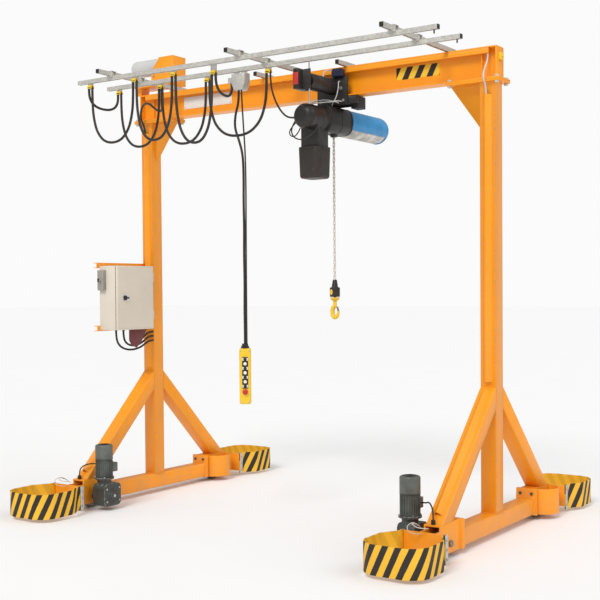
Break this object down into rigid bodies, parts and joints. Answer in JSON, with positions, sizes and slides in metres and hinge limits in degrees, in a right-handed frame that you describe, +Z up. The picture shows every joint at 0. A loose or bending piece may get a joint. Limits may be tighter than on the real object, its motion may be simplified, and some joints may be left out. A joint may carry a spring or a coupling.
{
  "type": "mobile electric gantry crane",
  "caption": "Wheeled portal crane with a runway beam on two braced A-frames, an electric chain hoist on a powered trolley, cable festoon, hanging pendant control and wrap-round bumpers.",
  "frame": {"origin": "on the floor under the middle of the crane", "axes": "+X along the runway beam towards the right-hand portal, +Y away from the festoon side, +Z up"},
  "size_m": [3.618, 2.96, 3.725],
  "materials": {
    "frame_paint": "semi-gloss orange-yellow paint",
    "bumper_yellow": "satin yellow paint with black slanting bands",
    "zinc_steel": "dull zinc coat",
    "wheel_steel": "turned, worn tread",
    "black_plastic": "fine grain",
    "cable_black": "matt sheath",
    "drive_grey": "dark grey-green paint",
    "silver_motor": "cast, lightly dulled",
    "blue_cover": "smooth moulding",
    "red_panel": "satin",
    "cabinet_grey": "powder coat",
    "pendant_yellow": "semi-gloss yellow",
    "chain_steel": "bright zinc",
    "plate_pale": "bare pale sheet"
  },
  "bodies": {
    "crane_frame": {"arm_caps": "black_plastic", "axle_guards": "frame_paint", "base_tubes": "frame_paint", "beam_plate": "plate_pale", "braces": "frame_paint", "bumper_bands": "bumper_yellow", "cabinet_box": "cabinet_grey", "cabinet_cables": "cable_black", "cabinet_channels": "frame_paint", "cabinet_flap": "red_panel", "cable_carriages": "zinc_steel", "cable_ducts": "frame_paint", "cable_glands": "black_plastic", "cable_saddles": "black_plastic", "clamp_strips": "zinc_steel", "columns": "frame_paint", "drive_cables": "cable_black", "drop_cable": "cable_black", "far_loops": "cable_black", "festoon_arms": "zinc_steel", "festoon_rails": "zinc_steel", "flange_bolts": "zinc_steel", "head_bolts": "zinc_steel", "link_cables": "cable_black", "mains_isolator": "cabinet_grey", "near_loops": "cable_black", "pendant_box": "pendant_yellow", "pendant_buttons": "black_plastic", "pendant_cable": "cable_black", "pendant_trolley": "zinc_steel", "reel_bracket": "frame_paint", "reel_drum": "cabinet_grey", "runway_beam": "frame_paint", "supply_cable": "cable_black", "terminal_boxes": "drive_grey", "travel_gearboxes": "drive_grey", "travel_motors": "drive_grey", "wheel_blocks": "frame_paint"},
    "hoist_trolley": {"trolley_frame": "drive_grey", "trolley_wheels": "wheel_steel", "limit_switch": "black_plastic", "trolley_drive": "drive_grey", "drive_cover": "red_panel", "drive_cap": "black_plastic", "tow_rods": "zinc_steel", "hoist_housing": "black_plastic", "hoist_motor": "silver_motor", "hoist_cover": "blue_cover", "chain_bag": "black_plastic", "hoist_cable": "cable_black", "load_chain": "chain_steel"},
    "hook_carrier": {"hook_sleeve": "black_plastic"},
    "swivel_hook": {"hook": "pendant_yellow", "hook_latch": "chain_steel"},
    "door": {"cabinet_door": "cabinet_grey"},
    "left_near_wheel": {"left_near_wheel": "wheel_steel"},
    "left_far_wheel": {"left_far_wheel": "wheel_steel"},
    "right_near_wheel": {"right_near_wheel": "wheel_steel"},
    "right_far_wheel": {"right_far_wheel": "wheel_steel"}
  },
  "joints": [
    {"name": "trolley_travel", "type": "slide", "parent": "crane_frame", "child": "hoist_trolley", "axis": [1, 0, 0], "range_m": [-0.15, 0.74], "deforming": ["hoist_cable"]},
    {"name": "hook_lift", "type": "slide", "parent": "hoist_trolley", "child": "hook_carrier", "axis": [0, 0, 1], "range_m": [-1.4, 0.95], "deforming": ["load_chain"]},
    {"name": "hook_swivel", "type": "hinge", "parent": "hook_carrier", "child": "swivel_hook", "pos_m": [0.282, 0, 1.66], "axis": [0, 0, 1], "continuous": true},
    {"name": "door_hinge", "type": "hinge", "parent": "crane_frame", "child": "door", "pos_m": [-1.437, -0.158, 1.68], "axis": [0, 0, 1], "range_deg": [0, 110]},
    {"name": "left_near_roll", "type": "hinge", "parent": "crane_frame", "child": "left_near_wheel", "pos_m": [-1.584, -0.77, 0.1], "axis": [1, 0, 0], "continuous": true},
    {"name": "left_far_roll", "type": "hinge", "parent": "crane_frame", "child": "left_far_wheel", "pos_m": [-1.584, 0.77, 0.1], "axis": [1, 0, 0], "continuous": true},
    {"name": "right_near_roll", "type": "hinge", "parent": "crane_frame", "child": "right_near_wheel", "pos_m": [1.584, -0.77, 0.1], "axis": [1, 0, 0], "continuous": true},
    {"name": "right_far_roll", "type": "hinge", "parent": "crane_frame", "child": "right_far_wheel", "pos_m": [1.584, 0.77, 0.1], "axis": [1, 0, 0], "continuous": true}
  ]
}
